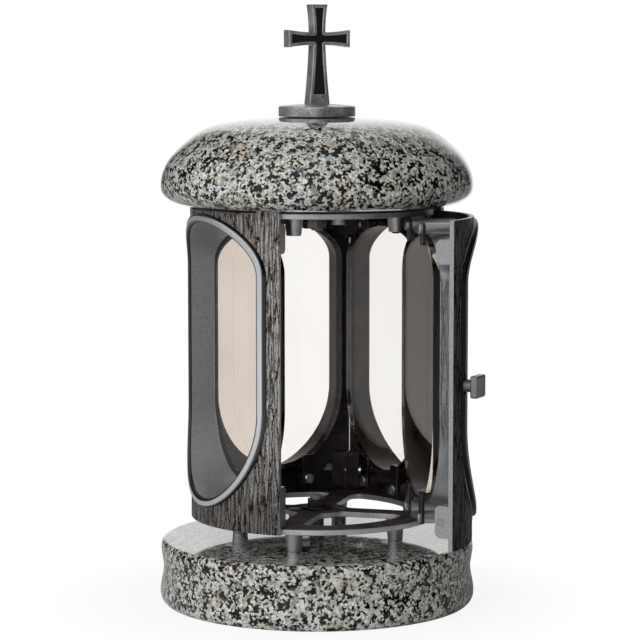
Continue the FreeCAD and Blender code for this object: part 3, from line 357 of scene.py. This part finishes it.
hinge = frame["joints"][0]
opened = -math.radians(hinge["range_deg"][0])
hinge_x, hinge_y = hinge["pos_m"][:2]
door_axis = (hinge_x - math.cos(opened) * hinge_x + math.sin(opened) * hinge_y,
             hinge_y - math.sin(opened) * hinge_x - math.cos(opened) * hinge_y)
# The door's #7a7a7a is painted shade on its outside. The other panels keep white, which changes
# nothing.
panels = {"left_panel": ((0, 0), "#ffffff"), "back_left_panel": ((0, 0), "#ffffff"),
          "back_right_panel": ((0, 0), "#ffffff"), "door_panel": (door_axis, "#7a7a7a")}
for name, (axis, painted_shade) in panels.items():
    nodes[name].data.materials[0] = bark_cast("bark_cast_" + name, axis, painted_shade)
print("panels:", sorted(panels))
print("door axis in mm:", [round(value / MM, 2) for value in door_axis])

# %% [markdown]
# The plates, the disc, the cross, the knob and the clips are smooth castings and pressings. Sand
# casting leaves a skin with a grit of about half a millimetre and slow changes of tone, and
# handling rubs the edges bright. Edges could be bevelled and painted, but a bevel node finds them
# without changing the mesh. The plates' level faces keep a dull brown skin, partly soot and partly
# painted shade.

# %% Smooth cast aluminium
TONE_PATCH = 8 * MM
WORN_METAL = "#dcdddf"
THIN_SOOT_AND_SHADE = "#6a625e"
SOOT_ROUGH = 0.75
SOOT_METAL = 0.1


def cast_aluminium(name, low, high, roughness, edge_radius, grit_size=0.5 * MM,
                   relief=0.12 * MM, level=None, metallic=1.0):
    """Cast metal: a soft grey grain, bright edges and, where level is given, level faces darkened
    by soot and painted shade.
    """
    made, tree, shader = finish_of(name, {"Roughness": roughness, "Metallic": metallic})
    place = add(tree, "ShaderNodeTexCoord").outputs["Object"]
    grit, tone = [add(tree, "ShaderNodeTexNoise",
                      {"Vector": place, "Scale": 1 / size, "Detail": 3.0})
                  for size in (grit_size, TONE_PATCH)]
    both = add(tree, "ShaderNodeMath", {0: grit, 1: tone})
    both = add(tree, "ShaderNodeMath", {0: both, 1: 0.5}, operation="MULTIPLY")
    skin = add(tree, "ShaderNodeValToRGB", {"Fac": both}, stops=[(0.35, low), (0.65, high)])
    rounded = add(tree, "ShaderNodeBevel", {"Radius": edge_radius}, samples=6)
    true_normal = add(tree, "ShaderNodeNewGeometry").outputs["Normal"]
    # The two normals agree on a flat face, where this is 1, and part at an edge.
    turn = add(tree, "ShaderNodeVectorMath", {0: rounded, 1: true_normal}, operation="DOT_PRODUCT")
    worn = add(tree, "ShaderNodeMapRange", {"Value": turn, 1: 0.995, 2: 0.88, 3: 0.0, 4: 0.85})
    if level:
        upright = add(tree, "ShaderNodeSeparateXYZ", {0: true_normal}).outputs["Z"]
        upright = add(tree, "ShaderNodeMath", {0: upright}, operation="ABSOLUTE")
        upright = add(tree, "ShaderNodeMapRange", {"Value": upright, 1: 0.8, 2: 0.95})
        # The level faces are painted dark brown, partly soot and partly painted shade.
        soot_and_shade_skin = add(tree, "ShaderNodeValToRGB", {"Fac": tone},
                    stops=[(0.4, level), (0.8, THIN_SOOT_AND_SHADE)])
        skin = add(tree, "ShaderNodeMix", {"Factor": upright, 6: skin, 7: soot_and_shade_skin},
                   data_type="RGBA")
        soot_and_shade = add(tree, "ShaderNodeMath", {0: 1.0, 1: worn}, operation="SUBTRACT")
        soot_and_shade = add(tree, "ShaderNodeMath", {0: soot_and_shade, 1: upright}, operation="MULTIPLY")
        bare = add(tree, "ShaderNodeMapRange", {"Value": soot_and_shade, 3: 1.0, 4: SOOT_METAL})
        dull = add(tree, "ShaderNodeMapRange", {"Value": soot_and_shade, 3: roughness, 4: SOOT_ROUGH})
        join(tree, shader, {"Metallic": bare, "Roughness": dull})
    colour = add(tree, "ShaderNodeMix", {"Factor": worn, 6: skin, 7: linear(WORN_METAL)},
                 data_type="RGBA")
    bump = add(tree, "ShaderNodeBump", {"Strength": 0.5, "Distance": relief, "Height": grit,
                                        "Normal": rounded})
    join(tree, shader, {"Base Color": colour, "Normal": bump})
    return made


print("changes of tone", TONE_PATCH / MM, "mm apart")

# %% [markdown]
# One recipe serves four castings and pressings. The plates are pale and matt, with soot and
# painted shade on their level faces.
# The cross is coarser, greyer and partly oxidised, so it is less of a mirror. The knob is darker,
# and the pressed clips, the anchor's nut and its washer are fine-grained and browned by the flame.

# %% Dress the smooth castings
# Matt sand-cast metal gives the eye broad, pale reflections, and on its level faces a brown film
# of soot and painted shade.
plate_metal = cast_aluminium("sand_cast_plate", "#bcbdbf", "#ececee", roughness=0.42,
                             edge_radius=0.5 * MM, level="#2e2724")
# Coarse cast metal gives speckled grey faces between bright worn edges.
cross_metal = cast_aluminium("cast_cross_metal", "#6a696c", "#e4e4e6", roughness=0.33,
                             edge_radius=0.8 * MM, relief=0.22 * MM, metallic=0.75)
# Metal that hands have darkened gives an even, soft grey.
knob_metal = cast_aluminium("cast_knob_metal", "#808184", "#a8a9ad", roughness=0.4,
                            edge_radius=0.3 * MM)
# Pressed sheet is finer than any casting, and its smoke gives a dark brown gleam.
clip_metal = cast_aluminium("pressed_clip", "#3b3735", "#5d5855", roughness=0.35,
                            edge_radius=0.1 * MM, grit_size=0.3 * MM, relief=0.05 * MM)
dressed = {plate_metal: ("bottom_plate", "top_plate"), cross_metal: ("cross", "cross_disc"),
           knob_metal: ("door_knob",),
           clip_metal: ("pane_clips", "door_clips", "anchor_nut", "anchor_washer")}
for finish, names in dressed.items():
    for name in names:
        nodes[name].data.materials[0] = finish
print("smooth castings:", sorted(name for names in dressed.values() for name in names))

# %% [markdown]
# The recess in the front of the cross is filled with black enamel, flooded in and baked. A plain
# black would look like a hole. Enamel is smooth but not flat: it dries with a faint unevenness
# about a millimetre wide, as on the peel of an orange, and that catches the light.

# %% Black enamel
PEEL = 1.2 * MM
PEEL_DEPTH = 0.05 * MM

# Enamel gives the eye a deep black with soft, slightly broken highlights.
enamel, tree, shader = finish_of("black_enamel", {"Roughness": 0.3})
place = add(tree, "ShaderNodeTexCoord").outputs["Object"]
peel = add(tree, "ShaderNodeTexNoise", {"Vector": place, "Scale": 1 / PEEL, "Detail": 2.0})
black = add(tree, "ShaderNodeValToRGB", {"Fac": peel}, stops=[(0.3, "#0c0b0d"), (0.7, "#1c1b1e")])
bump = add(tree, "ShaderNodeBump", {"Strength": 0.3, "Distance": PEEL_DEPTH, "Height": peel})
join(tree, shader, {"Base Color": black, "Normal": bump})
nodes["cross_inlay"].data.materials[0] = enamel
print("enamel peel", PEEL / MM, "mm")

# %% [markdown]
# The small hardware is steel with a thin bright coat of zinc: the tie rod, the anchor stud, the
# screws, the nuts, the hinge pins, and the magnets' plating. Zinc clouds in patches of a few
# millimetres. A thread modelled turn by turn would cost more faces than the rest of the lantern,
# so a wave along Z presses fine rings into the surface, 0.8 mm from crest to crest.

# %% Zinc-plated steel
ZINC_CLOUD = 2.5 * MM
ZINC_RELIEF = 0.05 * MM
THREAD_PITCH = 0.8 * MM
THREAD_DEPTH = 0.3 * MM


def zinc_steel(name, pitch=None):
    """Bright zinc on steel. The eye gets a cool, cloudy mirror."""
    made, tree, shader = finish_of(name, {"Roughness": 0.3, "Metallic": 1.0})
    place = add(tree, "ShaderNodeTexCoord").outputs["Object"]
    cloud = add(tree, "ShaderNodeTexNoise",
                {"Vector": place, "Scale": 1 / ZINC_CLOUD, "Detail": 4.0})
    colour = add(tree, "ShaderNodeValToRGB", {"Fac": cloud},
                 stops=[(0.3, "#8e9094"), (0.5, "#b4b6b9"), (0.7, "#c6c4bd")])
    height, depth = cloud.outputs["Fac"], ZINC_RELIEF
    if pitch:
        # One wave of the band pattern is 2 pi / 20 of a unit long, so the scale follows the pitch.
        rings = add(tree, "ShaderNodeTexWave", {"Vector": place, "Scale": math.pi / 10 / pitch},
                    bands_direction="Z")
        height, depth = rings.outputs["Fac"], THREAD_DEPTH
    bump = add(tree, "ShaderNodeBump", {"Strength": 0.8, "Distance": depth, "Height": height})
    join(tree, shader, {"Base Color": colour, "Normal": bump})
    return made


zinc_plated = {
    zinc_steel("zinc_plated_thread", THREAD_PITCH): ("lid_tie_rod", "anchor_stud",
                                                     "foot_side_studs"),
    zinc_steel("zinc_plated_steel"): (
        "lid_washer", "lid_nut", "pane_clip_screws", "door_clip_screws", "panel_joint_screws",
        "panel_joint_nuts", "bottom_plate_screws", "top_plate_screws", "knob_screw",
        "lower_hinge_pin", "upper_hinge_pin", "frame_magnet", "door_magnet")}
for finish, names in zinc_plated.items():
    for name in names:
        nodes[name].data.materials[0] = finish
print("zinc-plated:", sum(len(names) for names in zinc_plated.values()), "nodes")

# %% [markdown]
# The four panes are smoked float glass, 3 mm thick. The two at the back barely tint the white
# behind them, and the left pane and the door's, with more smoke on them, turn it to a warm beige.
# Real glass takes its tint from its own substance, so the tint is in the glass shader and not in a
# film on top. It drifts a little over 40 mm, as the smoke does.

# %% Smoked glass
SMOKE_DRIFT = 40 * MM


def smoked_glass(name, deep, light):
    """Clear tinted glass. The eye gets what is behind it, warmer and dimmer, and a sharp gleam."""
    made, tree, shader = finish_of(name, {
        "Roughness": 0.0, "IOR": 1.5, "Transmission Weight": 1.0})
    place = add(tree, "ShaderNodeTexCoord").outputs["Object"]
    drift = add(tree, "ShaderNodeTexNoise",
                {"Vector": place, "Scale": 1 / SMOKE_DRIFT, "Detail": 1.0})
    tint = add(tree, "ShaderNodeValToRGB", {"Fac": drift}, stops=[(0.3, deep), (0.7, light)])
    join(tree, shader, {"Base Color": tint})
    return made


clean_glass = smoked_glass("smoked_float_glass", "#fefaf6", "#fffdfa")
sooty_glass = smoked_glass("sooty_float_glass", "#e6d9cf", "#eee4dc")
panes = {"left_pane": sooty_glass, "back_left_pane": clean_glass,
         "back_right_pane": clean_glass, "door_pane": sooty_glass}
for name, glass in panes.items():
    nodes[name].data.materials[0] = glass
print("panes:", {name: glass.name for name, glass in panes.items()})

# %% [markdown]
# The hinge turns in two cone bushes of clear plastic, moulded and a little scuffed. Scuffs spread
# the light, so a fine noise drives both the roughness and a slight greying of the plastic.

# %% Clear moulded plastic
SCUFF = 0.8 * MM

# Clear plastic gives the eye a soft, milky gleam with bright edges.
plastic, tree, shader = finish_of("clear_moulded_plastic", {
    "Roughness": 0.12, "IOR": 1.49, "Transmission Weight": 0.9})
place = add(tree, "ShaderNodeTexCoord").outputs["Object"]
scuff = add(tree, "ShaderNodeTexNoise", {"Vector": place, "Scale": 1 / SCUFF, "Detail": 3.0})
clear = add(tree, "ShaderNodeValToRGB", {"Fac": scuff}, stops=[(0.3, "#d9dad8"), (0.7, "#f2f3f1")])
scuffed = add(tree, "ShaderNodeMapRange", {"Value": scuff, 1: 0.35, 2: 0.7, 3: 0.06, 4: 0.3})
join(tree, shader, {"Base Color": clear, "Roughness": scuffed})
bushes = ("lower_hinge_bush", "upper_hinge_bush")
for name in bushes:
    nodes[name].data.materials[0] = plastic
print("clear plastic:", bushes)

# %% [markdown]
# The gasket under the lid is black rubber, moulded with a dull, faintly pebbled skin. Only its
# edge shows, as a dark line, so it has to stay darker and duller than the metal beside it.

# %% Black moulded rubber
PEBBLE = 0.6 * MM
PEBBLE_DEPTH = 0.05 * MM

# Rubber gives the eye a soft black without highlights.
rubber, tree, shader = finish_of("black_moulded_rubber", {"Roughness": 0.75})
place = add(tree, "ShaderNodeTexCoord").outputs["Object"]
skin = add(tree, "ShaderNodeTexNoise", {"Vector": place, "Scale": 1 / PEBBLE, "Detail": 3.0})
black = add(tree, "ShaderNodeValToRGB", {"Fac": skin}, stops=[(0.3, "#131313"), (0.7, "#232323")])
bump = add(tree, "ShaderNodeBump", {"Strength": 0.4, "Distance": PEBBLE_DEPTH, "Height": skin})
join(tree, shader, {"Base Color": black, "Normal": bump})
nodes["lid_gasket"].data.materials[0] = rubber
print("rubber pebbles", PEBBLE / MM, "mm")

# %% [markdown]
# The lantern stands on plain white, so the floor and the world are white to the camera. Polished
# stone, metal and glass mirror what is around them, and with white on every side they would look
# milky. For them the white backdrop hangs only behind the lantern, between two soft edges. Where
# a direction meets it follows from how far the direction goes along Y, to the back, and along X.

# %% Where the white backdrop hangs
BACKDROP_EDGES = (("Y", 0.2, 0.5), ("X", -0.34, -0.2), ("X", 0.5, 0.3))


def backdrop_share(tree, way):
    """How white a direction is: all to the camera, and only behind the lantern in reflections."""
    ways = add(tree, "ShaderNodeSeparateXYZ", {0: way}).outputs
    hung = 1.0
    for side, empty, full in BACKDROP_EDGES:
        within = add(tree, "ShaderNodeMapRange", {"Value": ways[side], 1: empty, 2: full})
        hung = add(tree, "ShaderNodeMath", {0: hung, 1: within}, operation="MULTIPLY")
    rays = add(tree, "ShaderNodeLightPath").outputs
    mirrored = add(tree, "ShaderNodeMath",
                   {0: rays["Is Glossy Ray"], 1: rays["Is Transmission Ray"]}, operation="MAXIMUM")
    mirrored = add(tree, "ShaderNodeMath", {0: mirrored, 1: hung}, operation="MULTIPLY")
    return add(tree, "ShaderNodeMath", {0: mirrored, 1: rays["Is Camera Ray"]},
               operation="MAXIMUM")


print("full white from", [round(math.degrees(math.asin(full)))
                          for side, empty, full in BACKDROP_EDGES if side == "X"], "degrees")

# %% [markdown]
# The floor is a large disc of white paper. It glows for the camera, and a little less near the
# foot, where the paper below shows through the glow and takes the lantern's soft shadow.

# %% Paper floor
FLOOR_RADIUS = 6.0
SHADOW_RADIUS = 0.06
PLAIN_RADIUS = 0.12
GLOW_AT_FOOT = 0.88

bpy.ops.mesh.primitive_circle_add(vertices=96, radius=FLOOR_RADIUS, fill_type="NGON",
                                  location=(0, 0, 0))
floor = bpy.context.object
floor.name = "studio_floor"
# Paper gives the eye a matt white with no gleam.
paper, tree, shader = finish_of("white_paper_floor", {
    "Roughness": 0.9, "Base Color": linear("#e9e9e9")})
place = add(tree, "ShaderNodeTexCoord").outputs["Object"]
way = add(tree, "ShaderNodeVectorMath", {0: place}, operation="NORMALIZE")
far = add(tree, "ShaderNodeVectorMath", {0: place}, operation="LENGTH")
far = add(tree, "ShaderNodeMapRange",
          {"Value": far, 1: SHADOW_RADIUS, 2: PLAIN_RADIUS, 3: GLOW_AT_FOOT, 4: 1.0})
share = add(tree, "ShaderNodeMath", {0: backdrop_share(tree, way), 1: far}, operation="MULTIPLY")
glow = add(tree, "ShaderNodeEmission", {"Strength": 1.0})
mixed = add(tree, "ShaderNodeMixShader", {0: share, 1: shader, 2: glow})
join(tree, tree.nodes["Material Output"], {"Surface": mixed})
floor.data.materials.append(paper)
print("floor radius", FLOOR_RADIUS, "m")

# %% [markdown]
# Round the lantern is a studio room. Where the backdrop doesn't hang, metal and stone mirror this
# room: pale in front and to the left, dark to the right, and dim behind. The change across the
# front shapes the castings, with a bright side and a dark side on each.

# %% Studio room
world = bpy.data.worlds.new("white_studio")
scene.world = world
world.use_nodes = True
tree = world.node_tree
direction = add(tree, "ShaderNodeTexCoord").outputs["Generated"]
white = backdrop_share(tree, direction)
ways = add(tree, "ShaderNodeSeparateXYZ", {0: direction}).outputs
across = add(tree, "ShaderNodeMapRange", {"Value": ways["X"], 1: -1.0, 2: 1.0})
front_room = add(tree, "ShaderNodeValToRGB", {"Fac": across}, stops=[
    (0.2, "#e2e2e2"), (0.52, "#dadada"), (0.66, "#9c9c9c"), (0.8, "#262626")])
front = add(tree, "ShaderNodeMapRange", {"Value": ways["Y"], 1: 0.4, 2: -0.2})
room = add(tree, "ShaderNodeMix", {"Factor": front, 6: linear("#454545"), 7: front_room},
           data_type="RGBA")
around = add(tree, "ShaderNodeMix", {"Factor": white, 6: room, 7: linear("#ffffff")},
             data_type="RGBA")
join(tree, tree.nodes["Background"], {"Color": around, "Strength": 1.0})
print("world:", world.name)

# %% [markdown]
# Two soft boxes light the lantern: a large one high at the front left, which gives the stone and
# the castings their bright side, and a much weaker one on the right. A polished surface would show
# them as hard-edged rectangles, so they light the lantern and are left out of its reflections.

# %% Lamps
TARGET = Vector((0, 0, 0.12))


def soft_box(name, place, size, watts):
    """A square soft box in metres and watts, turned to the middle of the cage."""
    lamp = bpy.data.objects.new(name, bpy.data.lights.new(name, "AREA"))
    scene.collection.objects.link(lamp)
    lamp.location = place
    lamp.rotation_mode = "QUATERNION"
    lamp.rotation_quaternion = (TARGET - Vector(place)).to_track_quat("-Z", "Y")
    lamp.data.size = size
    lamp.data.energy = watts
    lamp.visible_glossy = False


soft_box("left_box", place=(-0.6, -1.05, 0.6), size=0.6, watts=6)
soft_box("right_box", place=(0.9, -0.4, 0.5), size=0.4, watts=0.2)
print("lamps aim at", [round(value / MM) for value in TARGET], "mm")

# %% [markdown]
# The camera stands 1.1 m away, a little above the lid, with a long lens, and looks 6 degrees down.
# So the lid shows almost from the side, and the foot's top face still shows. A focal length that
# is counted in pixels becomes millimetres through the width of the sensor.

# %% Camera
CAMERA_PLACE = (0.0013, -1.1089, 0.2408)
CAMERA_PITCH = 6.065
FOCAL_PIXELS = 2559.9
PICTURE_PIXELS = 640
SENSOR_WIDTH = 36

camera = bpy.data.objects.new("camera", bpy.data.cameras.new("camera"))
scene.collection.objects.link(camera)
camera.location = CAMERA_PLACE
camera.rotation_euler = (math.radians(90 - CAMERA_PITCH), 0, 0)
camera.data.sensor_width = SENSOR_WIDTH
camera.data.lens = FOCAL_PIXELS / PICTURE_PIXELS * SENSOR_WIDTH
camera.data.clip_start = 10 * MM
scene.camera = camera
scene.view_settings.view_transform = "Standard"
print("lens", round(camera.data.lens, 1), "mm")
